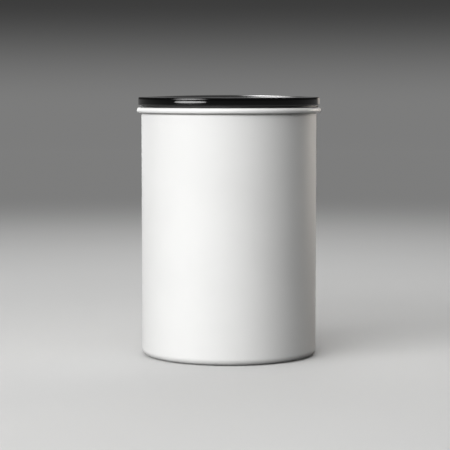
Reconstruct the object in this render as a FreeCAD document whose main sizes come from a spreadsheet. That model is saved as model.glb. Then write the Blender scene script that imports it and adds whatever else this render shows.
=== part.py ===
"""Coffee canister with a press-down inner lid and a valve.

A drawn steel can with a rolled rim, an outer lid with a silicone seal, and a plunger that is pushed down
onto the coffee. The plunger carries a folding handle; a cam on the handle's axle presses an umbrella valve
shut when the handle lies flat and lets a spring lift it when the handle stands up.

Millimetres, +Z up, origin at the centre of the base. The handle folds towards +Y.
"""

import FreeCAD, Part
import math
import os
import re

import Sketcher

LEFT = 1
RIGHT = -1
FULL_TURN = 360

doc = FreeCAD.newDocument("coffee_canister")
sheet = doc.addObject("Spreadsheet::Sheet", "Sizes")

# Driving dimensions: name, value in millimetres (or a count), what it is

SIZES = [
    # can
    ("body_dia", 120.65, "outside of the can wall"),
    ("can_wall", 0.7, "steel sheet"),
    ("rim_height", 171.0, "top of the rolled rim above the table"),
    ("bead_dia", 3.85, "outside of the rolled rim's tube"),
    ("curl_gap", 0.2, "between the end of the curl and the wall"),
    ("base_corner", 4.5, "outside radius between base and wall"),
    ("foot_width", 5.0, "flat ring that the can stands on"),
    ("base_rise", 1.2, "raised panel in the base"),
    ("base_slope", 1.5, "radial run of the step up to the panel"),
    # outer lid
    ("flange_inset", 0.85, "edge of the lid's flange inside the rim's outer edge"),
    ("flange_height", 5.5, "flange, from its underside to its upper edge"),
    ("flange_round", 1.2, "upper edge of the flange"),
    ("flange_under_round", 0.7, "lower edge of the flange"),
    ("lid_gap", 1.5, "between the rim and the flange, taken up by the seal"),
    ("lid_plate", 3.4, "lid's top plate"),
    ("lid_crown", 1.5, "rise of the plate from its edge to its middle, above and below"),
    ("plug_depth", 10.0, "plug below the rim's top"),
    ("plug_wall", 2.2, "wall of the plug"),
    ("plug_gap", 1.6, "between the plug and the can wall"),
    ("plug_fillet", 1.6, "between the plug and the top plate"),
    ("plug_rib", 0.5, "rib that keeps the seal on the plug, how far it stands out"),
    ("plug_rib_height", 1.2, "height of that rib"),
    # outer lid's seal
    ("lid_seal_inset", 1.1, "edge of the seal's flange inside the lid's"),
    ("sleeve_wall", 0.7, "seal's sleeve round the plug"),
    ("lid_lip_start", 1.0, "first lip above the sleeve's lower edge"),
    ("lid_lip_pitch", 3.4, "from one lip to the next"),
    ("lid_lip_root", 1.6, "height of a lip where it leaves the sleeve"),
    ("lid_lip_tip", 0.5, "height of a lip at its edge"),
    ("seat_gap", 0.15, "between the seal's flange and the rim"),
    ("lip_gap", 0.25, "between a sealing lip and the can wall"),
    ("snug_gap", 0.05, "between pieces that are held together"),
    # plunger
    ("plunger_gap", 2.6, "between the plunger's moulding and the can wall"),
    ("plunger_floor", 3.0, "floor of the dish"),
    ("plunger_wall", 3.0, "wall of the dish"),
    ("plunger_height", 25.0, "wall above the floor"),
    ("plunger_edge_round", 2.0, "lower outside edge"),
    ("plunger_rim_round", 1.0, "edges of the dish's rim"),
    ("dish_corner", 3.0, "between the floor and the wall, inside"),
    ("groove_low", 4.0, "lower edge of the seal's groove above the underside"),
    ("groove_height", 13.0, "height of the seal's groove"),
    ("groove_depth", 1.2, "depth of the seal's groove"),
    # plunger's seal
    ("band_proud", 0.4, "how far the band stands out of the groove"),
    ("wiper_start", 2.0, "first wiper lip above the band's lower edge"),
    ("wiper_pitch", 5.5, "from one wiper lip to the next"),
    ("wiper_root", 1.8, "thickness of a wiper lip at the band"),
    ("wiper_tip", 0.7, "thickness of a wiper lip at its edge"),
    ("wiper_rise", 1.0, "how far a wiper lip slopes up"),
    # valve
    ("vent_dia", 3.0, "vent hole in the plunger's floor"),
    ("vent_margin", 0.5, "between a vent hole and the umbrella's sealing ring"),
    ("vent_count", 6, "vent holes"),
    ("cage_dia", 26.0, "outside of the valve cage"),
    ("cage_wall", 1.8, "wall of the cage"),
    ("cage_height", 9.0, "top of the cage above the floor"),
    ("cage_top", 1.8, "top plate of the cage"),
    ("cage_round", 1.2, "upper edge of the cage"),
    ("cage_socket", 1.0, "groove in the floor that the cage sits in"),
    ("window_count", 6, "windows in the cage"),
    ("window_width", 6.5, "width of a window"),
    ("window_sill", 1.6, "window above the floor"),
    ("window_lintel", 1.6, "wall between a window and the cage's top plate"),
    ("guide_wall", 2.1, "wall of the boss that guides the stem"),
    ("guide_rise", 2.0, "boss above the cage's top"),
    ("stem_dia", 3.6, "shaft of the stem"),
    ("stem_gap", 0.08, "running clearance of the stem, on the radius"),
    ("head_lap", 0.9, "head of the stem beyond the spring"),
    ("head_height", 2.0, "thickness of the head"),
    ("head_round", 0.5, "upper edge of the head"),
    ("collar_lap", 1.0, "collar above the umbrella, how far it stands out of the shaft"),
    ("collar_height", 1.0, "thickness of that collar"),
    ("neck_dia", 3.0, "neck that the umbrella is stretched over"),
    ("bulb_lap", 1.0, "bulb below the umbrella, how far it stands out of the neck"),
    ("bulb_height", 0.9, "thickness of the bulb"),
    ("bulb_inset", 0.3, "bulb above the umbrella's lower edge"),
    ("umbrella_room", 1.7, "between the silicone umbrella and the cage"),
    ("umbrella_gap", 0.05, "between the shut umbrella and the floor"),
    ("umbrella_web", 1.2, "umbrella at the neck"),
    ("umbrella_edge", 0.9, "umbrella at its edge"),
    ("umbrella_seat", 1.5, "width of the umbrella's sealing ring"),
    ("umbrella_relief", 0.45, "underside above the sealing ring"),
    ("umbrella_hub_lap", 0.8, "flat top of the umbrella beyond the collar"),
    ("spring_room", 1.0, "between the spring and the guide boss"),
    ("spring_wire", 0.6, "wire of the spring"),
    ("spring_turns", 4, "turns of the spring"),
    ("spring_height", 5.0, "spring between the cage and the head, valve shut"),
    # handle
    ("cam_dia", 10.0, "eccentric that presses on the stem's head"),
    ("cam_width", 6.0, "width of the eccentric"),
    ("cam_throw", 1.8, "from the axle's centre to the eccentric's"),
    ("cam_gap", 0.12, "between the eccentric and the head"),
    ("axle_dia", 4.0, "steel axle"),
    ("axle_flat", 0.6, "depth of the flat along the axle"),
    ("axle_gap", 0.06, "running clearance of the axle, on the radius"),
    ("axle_inset", 0.4, "end of the axle inside its post"),
    ("bail_width", 60.0, "handle, outside of one leg to the other"),
    ("bail_room", 14.0, "between the folded handle's far edge and the dish's wall"),
    ("bail_leg", 5.0, "width of a leg"),
    ("bail_grip", 8.0, "width of the grip"),
    ("bail_thick", 6.0, "thickness of the handle"),
    ("bail_corner", 13.0, "outside corner of the handle"),
    ("bail_inner_corner", 8.0, "inside corner of the handle"),
    ("bail_round", 1.6, "edges of the handle"),
    ("eye_wall", 2.5, "eye of a leg round the axle"),
    ("handle_headroom", 1.0, "between the raised handle and the shut lid"),
    ("rest_gap", 0.1, "between the folded handle and its rests"),
    ("rest_width", 3.0, "width of a rest"),
    ("rest_place_share", 0.25, "middle of a rest from the can's axis, share of the handle's width"),
    ("rest_reach", 4.0, "how far a rest goes under the grip"),
    # bearings
    ("post_width", 6.0, "saddle post, along the axle"),
    ("post_gap", 0.4, "between a leg and its post"),
    ("cap_shoulder", 2.6, "bearing cap where the screws go through"),
    ("cap_arch", 2.4, "bearing cap over the axle"),
    ("screw_dia", 2.5, "thread of a bearing screw"),
    ("screw_length", 9.0, "screw below its head"),
    ("screw_head_dia", 4.5, "head of a screw"),
    ("screw_head", 1.6, "height of a screw's head"),
    ("screw_side_gap", 0.4, "between a screw's head and the cap's arch"),
    ("screw_edge", 0.5, "cap beyond a screw's head"),
    ("screw_clearance", 0.1, "screw in the cap's hole, on the radius"),
    ("socket_dia", 1.7, "hexagon socket, across its corners"),
    ("socket_depth", 0.9, "depth of the socket"),
    ("screw_tip_gap", 0.6, "hole below the end of a screw"),
    # cutting
    ("overrun", 1.0, "how far a cut runs past what it cuts"),
]

for row, (alias, size, note) in enumerate(SIZES, start=1):
    sheet.set(f"A{row}", note)
    sheet.set(f"B{row}", str(size))
    sheet.setAlias(f"B{row}", alias)
doc.recompute()

ALIASES = {alias for alias, size, note in SIZES}


def bound(text):
    """The expression with the sheet's name put before each of its cells."""
    return re.sub(r"[a-z_]+", lambda m: f"Sizes.{m[0]}" if m[0] in ALIASES else m[0], text)


def value(text):
    """The number that an expression gives now."""
    return float(sheet.evalExpression(bound(text)))


def bind(thing, **sizes):
    """Ties properties of an object to expressions; base_x stands for Placement.Base.x, and so on."""
    for name, text in sizes.items():
        thing.setExpression(name.replace("base_", "Placement.Base."), bound(text))
    return thing


# Places that several pieces share, worked out from the sheet

body_r = "(body_dia / 2)"
bore_r = "(body_dia / 2 - can_wall)"
bead_r = "(bead_dia / 2)"
curl_r = f"({bead_r} - can_wall)"
bead_ring = f"({bore_r} + {bead_r})"
bead_z = f"(rim_height - {bead_r})"
curl_run = f"({curl_r} - curl_gap)"
curl_drop = f"sqrt({bead_r}^2 - {curl_run}^2)"
foot_out = f"({body_r} - base_corner)"
foot_in = f"({foot_out} - foot_width)"
panel_r = f"({foot_in} - base_slope)"

flange_r = f"({bead_ring} + {bead_r} - flange_inset)"
flange_z = "(rim_height + lid_gap)"
lid_top = f"({flange_z} + flange_height)"
lid_under = f"({lid_top} - lid_plate)"
plug_r = f"({bore_r} - plug_gap)"
plug_in = f"({plug_r} - plug_wall)"
plug_z = "(rim_height - plug_depth)"
plug_rib_top = f"({plug_z} + plug_rib_height)"
lip_r = f"({bore_r} - lip_gap)"

# The plunger's pieces are drawn from its underside up

plunger_r = f"({bore_r} - plunger_gap)"
dish_r = f"({plunger_r} - plunger_wall)"
dish_rim = "(plunger_floor + plunger_height)"
groove_r = f"({plunger_r} - groove_depth)"
groove_top = "(groove_low + groove_height)"
cage_r = "(cage_dia / 2)"
cage_in = f"({cage_r} - cage_wall)"
cage_low = "(plunger_floor - cage_socket)"
cage_high = "(plunger_floor + cage_height)"
stem_r = "(stem_dia / 2)"
stem_hole_r = f"({stem_r} + stem_gap)"
guide_r = f"({stem_hole_r} + guide_wall)"
spring_r = f"({guide_r} + spring_room + spring_wire / 2)"
umbrella_r = f"({cage_in} - umbrella_room)"
umbrella_seat_in = f"({umbrella_r} - umbrella_seat)"
umbrella_low = "(plunger_floor + umbrella_gap)"
bulb_low = f"({umbrella_low} + bulb_inset)"
web_low = f"({bulb_low} + bulb_height)"
web_high = f"({web_low} + umbrella_web)"
head_low = f"({cage_high} + spring_height)"
head_high = f"({head_low} + head_height)"
cam_offset = "(cam_throw * sqrt(2) / 2)"
axle_z = f"({head_high} + cam_gap + cam_dia / 2 + {cam_offset})"
post_in = "(bail_width / 2 + post_gap)"
post_out = f"({post_in} + post_width)"
post_mid = f"({post_in} + post_width / 2)"
bearing_r = "(axle_dia / 2 + axle_gap)"
cap_r = f"({bearing_r} + cap_arch)"
cap_arch_side = f"sqrt({cap_r}^2 - cap_shoulder^2)"
screw_side = f"({cap_arch_side} + screw_side_gap + screw_head_dia / 2)"
post_side = f"({screw_side} + screw_head_dia / 2 + screw_edge)"
bail_reach = f"({dish_r} - bail_room)"
handle_sweep = f"sqrt({bail_reach}^2 + bail_thick^2 / 4)"
plunger_z = f"({lid_under} - handle_headroom - {handle_sweep} - {axle_z})"
handle_z = f"({plunger_z} + {axle_z})"


# Drawing


def origin_feature(body, role):
    return next(f for f in body.Origin.OriginFeatures if f.Role == role)


def sketch_on(body, name, role, offset="0"):
    """A sketch on one of the body's origin planes, moved along its normal by offset."""
    sketch = body.newObject("Sketcher::SketchObject", name)
    sketch.AttachmentSupport = (origin_feature(body, role), [""])
    sketch.MapMode = "FlatFace"
    sketch.setExpression("AttachmentOffset.Base.z", bound(offset))
    return sketch


def pin_point(sketch, geometry, end, x, y):
    """Fixes a point of the sketch at the place that the expressions x and y give."""
    for kind, axis, text in (("DistanceX", -2, x), ("DistanceY", -1, y)):
        if text == "0":
            sketch.addConstraint(Sketcher.Constraint("PointOnObject", geometry, end, axis))
            continue
        index = sketch.addConstraint(Sketcher.Constraint(kind, -1, 1, geometry, end, value(text)))
        sketch.setExpression(f"Constraints[{index}]", bound(text))


def draw_outline(sketch, corners):
    """A closed outline. A corner is (x, y), with (x, y, radius, side) where an arc leads to the next one."""
    points = [FreeCAD.Vector(value(c[0]), value(c[1]), 0) for c in corners]
    ends = []
    for i, corner in enumerate(corners):
        start, stop = points[i], points[(i + 1) % len(points)]
        if len(corner) == 2:
            sketch.addGeometry(Part.LineSegment(start, stop))
            ends.append((1, 2))
            continue
        radius, side = value(corner[2]), corner[3]
        chord = stop - start
        normal = FreeCAD.Vector(-chord.y, chord.x, 0) / chord.Length
        height = math.sqrt(max(0, radius**2 - chord.Length**2 / 4))
        centre = (start + stop) / 2 + normal * height * side
        angles = [math.atan2(p.y - centre.y, p.x - centre.x) for p in (start, stop)]
        circle = Part.Circle(centre, FreeCAD.Vector(0, 0, 1), radius)
        sketch.addGeometry(Part.ArcOfCircle(circle, *angles[::side]))
        ends.append((1, 2)[::side])
    for i, corner in enumerate(corners):
        following = (i + 1) % len(corners)
        sketch.addConstraint(Sketcher.Constraint("Coincident", i, ends[i][1], following, ends[following][0]))
    for i, corner in enumerate(corners):
        pin_point(sketch, i, ends[i][0], corner[0], corner[1])
        if len(corner) > 2:
            index = sketch.addConstraint(Sketcher.Constraint("Radius", i, value(corner[2])))
            sketch.setExpression(f"Constraints[{index}]", bound(corner[2]))


def draw_circle(sketch, x, y, radius):
    at = FreeCAD.Vector(value(x), value(y), 0)
    geometry = sketch.addGeometry(Part.Circle(at, FreeCAD.Vector(0, 0, 1), value(radius)))
    if (x, y) == ("0", "0"):
        sketch.addConstraint(Sketcher.Constraint("Coincident", geometry, 3, -1, 1))
    else:
        pin_point(sketch, geometry, 3, x, y)
    index = sketch.addConstraint(Sketcher.Constraint("Radius", geometry, value(radius)))
    sketch.setExpression(f"Constraints[{index}]", bound(radius))


def rectangle(x0, x1, y0, y1):
    return [(x0, y0), (x1, y0), (x1, y1), (x0, y1)]


def new_body(label, base_z="0"):
    body = doc.addObject("PartDesign::Body", label)
    body.Label = label
    return bind(body, base_z=base_z)


def turned(label, corners, base_z="0"):
    """A body turned round the Z axis from a half section."""
    body = new_body(label, base_z)
    sketch = sketch_on(body, f"{label}_section", "XZ_Plane")
    draw_outline(sketch, corners)
    turn = body.newObject("PartDesign::Revolution", f"{label}_turn")
    turn.Profile = sketch
    turn.ReferenceAxis = (sketch, ["V_Axis"])
    turn.Angle = FULL_TURN
    body.Tip = turn
    doc.recompute()
    return body


def extrude(body, kind, sketch, length, symmetric=False):
    """A pad or a pocket of the sketch."""
    feature = body.newObject(f"PartDesign::{kind}", f"{sketch.Name}_{kind.lower()}")
    feature.Profile = sketch
    if symmetric:
        feature.SideType = "Symmetric"
    bind(feature, Length=length)
    body.Tip = feature
    doc.recompute()
    return feature


def patterned(body, feature, count):
    """The feature repeated round the Z axis."""
    pattern = body.newObject("PartDesign::PolarPattern", f"{feature.Name}_ring")
    pattern.Originals = [feature]
    pattern.Axis = (origin_feature(body, "Z_Axis"), [""])
    pattern.Angle = FULL_TURN
    bind(pattern, Occurrences=count)
    body.Tip = pattern
    doc.recompute()


def mirrored(body, feature):
    """The feature repeated on the other side of the YZ plane."""
    copy = body.newObject("PartDesign::Mirrored", f"{feature.Name}_mirror")
    copy.Originals = [feature]
    copy.MirrorPlane = (origin_feature(body, "YZ_Plane"), [""])
    body.Tip = copy
    doc.recompute()


def primitive(kind, name, **sizes):
    return bind(doc.addObject(f"Part::{kind}", name), **sizes)


def lip(root_r, edge_r, low, root, tip, rise="0"):
    """Four corners of a sealing lip that starts on a wall at root_r and ends at edge_r."""
    middle = f"({low} + {root} / 2 + {rise})"
    return [
        (root_r, low),
        (edge_r, f"({middle} - {tip} / 2)"),
        (edge_r, f"({middle} + {tip} / 2)"),
        (root_r, f"({low} + {root})"),
    ]


# Can


def make_canister_shell():
    end_share = f"({curl_r} / {bead_r})"
    corners = [
        ("0", "base_rise"),
        (panel_r, "base_rise"),
        (foot_in, "0"),
        (foot_out, "0", "base_corner", LEFT),
        (body_r, "base_corner"),
        (body_r, bead_z, curl_r, RIGHT),
        (bead_ring, f"({bead_z} + {curl_r})", curl_r, RIGHT),
        (f"({bead_ring} + {curl_r})", bead_z, curl_r, RIGHT),
        (f"({bead_ring} - {curl_run} * {end_share})", f"({bead_z} - {curl_drop} * {end_share})"),
        (f"({bead_ring} - {curl_run})", f"({bead_z} - {curl_drop})", bead_r, LEFT),
        (f"({bead_ring} + {bead_r})", bead_z, bead_r, LEFT),
        (bead_ring, "rim_height", bead_r, LEFT),
        (bore_r, bead_z),
        (bore_r, "base_corner", "(base_corner - can_wall)", RIGHT),
        (foot_out, "can_wall"),
        (foot_in, "can_wall"),
        (panel_r, "(base_rise + can_wall)"),
        ("0", "(base_rise + can_wall)"),
    ]
    return turned("canister_shell", corners)


# Outer lid and its seal


def crown_arc(edge_r):
    """Radius of the arc that rises by the lid's crown from edge_r to the axis."""
    return f"(({edge_r}^2 + lid_crown^2) / (2 * lid_crown))"


def make_outer_lid():
    rib_r = f"({plug_r} + plug_rib)"
    under_r = f"({plug_in} - plug_fillet)"
    upper_r = f"({flange_r} - flange_round)"
    corners = [
        ("0", f"({lid_under} + lid_crown)", crown_arc(under_r), RIGHT),
        (under_r, lid_under, "plug_fillet", RIGHT),
        (plug_in, f"({lid_under} - plug_fillet)"),
        (plug_in, plug_z),
        (plug_r, plug_z),
        (rib_r, f"({plug_z} + plug_rib)"),
        (rib_r, plug_rib_top),
        (plug_r, plug_rib_top),
        (plug_r, flange_z),
        (f"({flange_r} - flange_under_round)", flange_z, "flange_under_round", LEFT),
        (flange_r, f"({flange_z} + flange_under_round)"),
        (flange_r, f"({lid_top} - flange_round)", "flange_round", LEFT),
        (upper_r, lid_top, crown_arc(upper_r), LEFT),
        ("0", f"({lid_top} + lid_crown)"),
    ]
    return turned("outer_lid", corners)


def make_outer_lid_seal():
    sleeve_in = f"({plug_r} + snug_gap)"
    sleeve_out = f"({sleeve_in} + sleeve_wall)"
    sleeve_low = f"({plug_rib_top} + snug_gap)"
    seal_r = f"({flange_r} - lid_seal_inset)"
    seal_low = "(rim_height + seat_gap)"
    first = f"({sleeve_low} + lid_lip_start)"
    second = f"({first} + lid_lip_pitch)"
    corners = [
        (sleeve_in, sleeve_low),
        (sleeve_out, sleeve_low),
        *lip(sleeve_out, lip_r, first, "lid_lip_root", "lid_lip_tip"),
        *lip(sleeve_out, lip_r, second, "lid_lip_root", "lid_lip_tip"),
        (sleeve_out, seal_low),
        (seal_r, seal_low),
        (seal_r, flange_z),
        (sleeve_in, flange_z),
    ]
    return turned("outer_lid_seal", corners)


# Plunger and its seal


def make_plunger_body():
    socket_out = f"({cage_r} + snug_gap)"
    socket_in = f"({cage_in} - snug_gap)"
    corners = [
        ("0", "0"),
        (f"({plunger_r} - plunger_edge_round)", "0", "plunger_edge_round", LEFT),
        (plunger_r, "plunger_edge_round"),
        (plunger_r, "groove_low"),
        (groove_r, "groove_low"),
        (groove_r, groove_top),
        (plunger_r, groove_top),
        (plunger_r, f"({dish_rim} - plunger_rim_round)", "plunger_rim_round", LEFT),
        (f"({plunger_r} - plunger_rim_round)", dish_rim),
        (f"({dish_r} + plunger_rim_round)", dish_rim, "plunger_rim_round", LEFT),
        (dish_r, f"({dish_rim} - plunger_rim_round)"),
        (dish_r, "(plunger_floor + dish_corner)", "dish_corner", RIGHT),
        (f"({dish_r} - dish_corner)", "plunger_floor"),
        (socket_out, "plunger_floor"),
        (socket_out, cage_low),
        (socket_in, cage_low),
        (socket_in, "plunger_floor"),
        ("0", "plunger_floor"),
    ]
    body = turned("plunger_body", corners, plunger_z)
    cut_vents(body)
    add_saddle_posts(body)
    add_handle_rests(body)
    return body


def cut_vents(body):
    sketch = sketch_on(body, "vent", "XY_Plane", "(plunger_floor + overrun)")
    vent_x = f"({umbrella_seat_in} - vent_margin - vent_dia / 2)"
    draw_circle(sketch, vent_x, "0", "(vent_dia / 2)")
    vent = extrude(body, "Pocket", sketch, "(plunger_floor + 2 * overrun)")
    patterned(body, vent, "vent_count")


def add_saddle_posts(body):
    """Two posts that carry the axle, with a half-round saddle and two screw holes in each."""
    sketch = sketch_on(body, "post", "XY_Plane")
    draw_outline(sketch, rectangle(post_in, post_out, f"(-{post_side})", post_side))
    post = extrude(body, "Pad", sketch, axle_z)
    mirrored(body, post)
    saddle = sketch_on(body, "saddle", "YZ_Plane")
    draw_circle(saddle, "0", axle_z, bearing_r)
    extrude(body, "Pocket", saddle, f"(2 * {post_out} + 2 * overrun)", symmetric=True)
    thread = sketch_on(body, "thread", "XY_Plane", f"({axle_z} + overrun)")
    for y in (screw_side, f"(-{screw_side})"):
        draw_circle(thread, post_mid, y, "(screw_dia / 2 + snug_gap)")
    depth = "(screw_length - cap_shoulder + screw_tip_gap + overrun)"
    mirrored(body, extrude(body, "Pocket", thread, depth))


def add_handle_rests(body):
    """Two ribs from the dish's wall, which the folded handle lies on."""
    inner_x = "(rest_place_share * bail_width - rest_width / 2)"
    outer_x = "(rest_place_share * bail_width + rest_width / 2)"
    wall_y = f"sqrt(({dish_r} + plunger_wall / 2)^2 - {outer_x}^2)"
    sketch = sketch_on(body, "rest", "XY_Plane")
    draw_outline(sketch, rectangle(inner_x, outer_x, f"({bail_reach} - rest_reach)", wall_y))
    rest = extrude(body, "Pad", sketch, f"({axle_z} - bail_thick / 2 - rest_gap)")
    mirrored(body, rest)


def make_plunger_seal():
    band_in = f"({groove_r} + snug_gap)"
    band_out = f"({plunger_r} + band_proud)"
    band_low = "(groove_low + snug_gap)"
    band_high = f"({groove_top} - snug_gap)"
    first = f"({band_low} + wiper_start)"
    second = f"({first} + wiper_pitch)"
    corners = [
        (band_in, band_low),
        (band_out, band_low),
        *lip(band_out, lip_r, first, "wiper_root", "wiper_tip", "wiper_rise"),
        *lip(band_out, lip_r, second, "wiper_root", "wiper_tip", "wiper_rise"),
        (band_out, band_high),
        (band_in, band_high),
    ]
    return turned("plunger_seal", corners, plunger_z)


# Valve


def make_valve_cage():
    guide_high = f"({cage_high} + guide_rise)"
    corners = [
        (cage_in, cage_low),
        (cage_r, cage_low),
        (cage_r, f"({cage_high} - cage_round)", "cage_round", LEFT),
        (f"({cage_r} - cage_round)", cage_high),
        (guide_r, cage_high),
        (guide_r, guide_high),
        (stem_hole_r, guide_high),
        (stem_hole_r, f"({cage_high} - cage_top)"),
        (cage_in, f"({cage_high} - cage_top)"),
    ]
    body = turned("valve_cage", corners, plunger_z)
    window = sketch_on(body, "window", "XZ_Plane")
    sill = "(plunger_floor + window_sill)"
    lintel = f"({cage_high} - cage_top - window_lintel)"
    draw_outline(window, rectangle("(-window_width / 2)", "(window_width / 2)", sill, lintel))
    cut = extrude(body, "Pocket", window, f"({cage_r} + overrun)")
    patterned(body, cut, "window_count")
    return body


def make_valve_umbrella():
    hole_r = "(neck_dia / 2 + snug_gap)"
    pocket_r = f"({hole_r} + bulb_lap)"
    hub_r = f"({stem_r} + collar_lap + umbrella_hub_lap)"
    relief = f"({umbrella_low} + umbrella_relief)"
    corners = [
        (hole_r, web_low),
        (pocket_r, web_low),
        (pocket_r, relief),
        (umbrella_seat_in, relief),
        (umbrella_seat_in, umbrella_low),
        (umbrella_r, umbrella_low),
        (umbrella_r, f"({umbrella_low} + umbrella_edge)"),
        (hub_r, web_high),
        (hole_r, web_high),
    ]
    return turned("valve_umbrella", corners, plunger_z)


def make_valve_stem():
    neck_r = "(neck_dia / 2)"
    bulb_r = f"({neck_r} + bulb_lap)"
    collar_r = f"({stem_r} + collar_lap)"
    collar_high = f"({web_high} + collar_height)"
    head_r = f"({spring_r} + spring_wire / 2 + head_lap)"
    corners = [
        ("0", bulb_low),
        (bulb_r, bulb_low),
        (bulb_r, web_low),
        (neck_r, web_low),
        (neck_r, web_high),
        (collar_r, web_high),
        (collar_r, collar_high),
        (stem_r, collar_high),
        (stem_r, head_low),
        (head_r, head_low),
        (head_r, f"({head_high} - head_round)", "head_round", LEFT),
        (f"({head_r} - head_round)", head_high),
        ("0", head_high),
    ]
    return turned("valve_stem", corners, plunger_z)


def helix_point(turns, radius, pitch, low):
    angle = 2 * math.pi * turns
    return FreeCAD.Vector(radius * math.cos(angle), radius * math.sin(angle), low + pitch * turns)


def helix_tangent(turns, radius, pitch):
    angle = 2 * math.pi * turns
    rise = pitch / (2 * math.pi)
    return FreeCAD.Vector(-radius * math.sin(angle), radius * math.cos(angle), rise).normalize()


def tangent_arc(start, corner, stop):
    """The arc from start to stop whose two tangents meet at corner."""
    middle = (start + stop) / 2
    half = (stop - start).Length / 2
    rise = (corner - middle).Length
    height = half * math.tan(math.atan2(rise, half) / 2)
    return Part.Arc(start, middle + (corner - middle).normalize() * height, stop).toShape()


def biarc(start, start_way, stop, stop_way):
    """Two arcs that leave start along start_way and reach stop along stop_way."""
    chord = stop - start
    ways = start_way + stop_way
    a = ways.dot(ways) - 4
    b = -2 * chord.dot(ways)
    c = chord.dot(chord)
    reach = (-b - math.sqrt(b * b - 4 * a * c)) / (2 * a)
    first = start + start_way * reach
    second = stop - stop_way * reach
    joint = (first + second) / 2
    return [tangent_arc(start, first, joint), tangent_arc(joint, second, stop)]


def least_gap(path, turns, wire):
    """Clear distance between one turn and the next, measured on points along the middle of the wire."""
    points_per_turn = 48
    points = path.discretize(round(points_per_turn * turns) + 1)
    far_enough = points_per_turn // 2
    apart = [(p - q).Length for i, p in enumerate(points) for q in points[i + far_enough :]]
    return min(apart) - wire


def make_valve_spring():
    """A wire wound round the stem's guide, between the cage and the stem's head."""
    wire, radius, turns = value("spring_wire"), value(spring_r), value("spring_turns")
    low = value(f"{cage_high} + snug_gap + spring_wire / 2")
    pitch = value("spring_height - 2 * snug_gap - spring_wire") / turns
    edges = []
    for quarter in range(round(4 * turns)):
        places = [helix_point(q / 4, radius, pitch, low) for q in (quarter, quarter + 1)]
        ways = [helix_tangent(q / 4, radius, pitch) for q in (quarter, quarter + 1)]
        edges += biarc(places[0], ways[0], places[1], ways[1])
    path = Part.Wire(edges)
    start = helix_point(0, radius, pitch, low)
    section = Part.Circle(start, helix_tangent(0, radius, pitch), wire / 2)
    spring = doc.addObject("Part::Feature", "valve_spring")
    spring.Label = "valve_spring"
    spring.Shape = path.makePipeShell([Part.Wire(section.toShape())], True, False)
    bind(spring, base_z=plunger_z)
    print(f"valve_spring: least gap between turns {least_gap(path, turns, wire):.2f} mm")
    return spring


# Handle


def along_x(thing, x, z):
    """Lays a cylinder along X, starting at x, at the height z."""
    thing.Placement.Rotation = FreeCAD.Rotation(FreeCAD.Vector(0, 1, 0), 90)
    return bind(thing, base_x=x, base_z=z)


def keyed_bar(name, gap, half_length, flat_half_length):
    """A round bar along the axle with a flat on its far side, grown by gap on the radius."""
    radius = f"(axle_dia / 2 + {gap})"
    bar = primitive("Cylinder", f"{name}_round", Radius=radius, Height=f"(2 * {half_length})")
    along_x(bar, f"(-{half_length})", handle_z)
    side = "axle_dia"
    flat = primitive("Box", f"{name}_flat", Length=f"(2 * {flat_half_length})")
    bind(flat, Width=side, Height=f"(2 * {side})")
    flat_y = f"(-axle_dia / 2 + axle_flat - {gap} - {side})"
    bind(flat, base_x=f"(-{flat_half_length})", base_y=flat_y, base_z=f"({handle_z} - {side})")
    keyed = doc.addObject("Part::Cut", name)
    keyed.Base = bar
    keyed.Tool = flat
    return keyed


def make_handle_axle():
    axle = keyed_bar("handle_axle", "0", f"({post_out} - axle_inset)", "(bail_width / 2)")
    axle.Label = "handle_axle"
    return axle


def make_valve_cam():
    disc = primitive("Cylinder", "cam_disc", Radius="(cam_dia / 2)", Height="cam_width")
    along_x(disc, "(-cam_width / 2)", f"({handle_z} - {cam_offset})")
    bind(disc, base_y=cam_offset)
    keyway_half = "(cam_width / 2 + overrun)"
    cam = doc.addObject("Part::Cut", "valve_cam")
    cam.Label = "valve_cam"
    cam.Base = disc
    cam.Tool = keyed_bar("cam_keyway", "snug_gap", keyway_half, keyway_half)
    return cam


def make_handle_bail():
    """A U of rounded bar: two legs from the axle and a wider grip across their ends."""
    half = "(bail_width / 2)"
    leg_in = f"({half} - bail_leg)"
    grip_in = f"({bail_reach} - bail_grip)"
    corner_x = f"({half} - bail_corner)"
    corner_y = f"({bail_reach} - bail_corner)"
    inner_x = f"({leg_in} - bail_inner_corner)"
    inner_y = f"({grip_in} - bail_inner_corner)"
    body = new_body("handle_bail_blank", handle_z)
    sketch = sketch_on(body, "bail", "XY_Plane", "(-bail_thick / 2)")
    corners = [
        (leg_in, "0"),
        (half, "0"),
        (half, corner_y, "bail_corner", LEFT),
        (corner_x, bail_reach),
        (f"(-{corner_x})", bail_reach, "bail_corner", LEFT),
        (f"(-{half})", corner_y),
        (f"(-{half})", "0"),
        (f"(-{leg_in})", "0"),
        (f"(-{leg_in})", inner_y, "bail_inner_corner", RIGHT),
        (f"(-{inner_x})", grip_in),
        (inner_x, grip_in, "bail_inner_corner", RIGHT),
        (leg_in, inner_y),
    ]
    draw_outline(sketch, corners)
    pad = extrude(body, "Pad", sketch, "bail_thick")
    edges = enumerate(pad.Shape.Edges, start=1)
    flat_edges = [f"Edge{i}" for i, edge in edges if edge.BoundBox.ZLength < edge.Length / 2]
    rounding = body.newObject("PartDesign::Fillet", "bail_rounding")
    rounding.Base = (pad, flat_edges)
    bind(rounding, Radius="bail_round")
    body.Tip = rounding
    doc.recompute()
    eye = sketch_on(body, "eye", "YZ_Plane", leg_in)
    draw_circle(eye, "0", "0", "(axle_dia / 2 + eye_wall)")
    mirrored(body, extrude(body, "Pad", eye, "bail_leg"))
    bail = doc.addObject("Part::Cut", "handle_bail")
    bail.Label = "handle_bail"
    bail.Base = body
    keyway_half = f"({half} + overrun)"
    bail.Tool = keyed_bar("bail_keyway", "snug_gap", keyway_half, keyway_half)
    return bail


# Bearings


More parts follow.
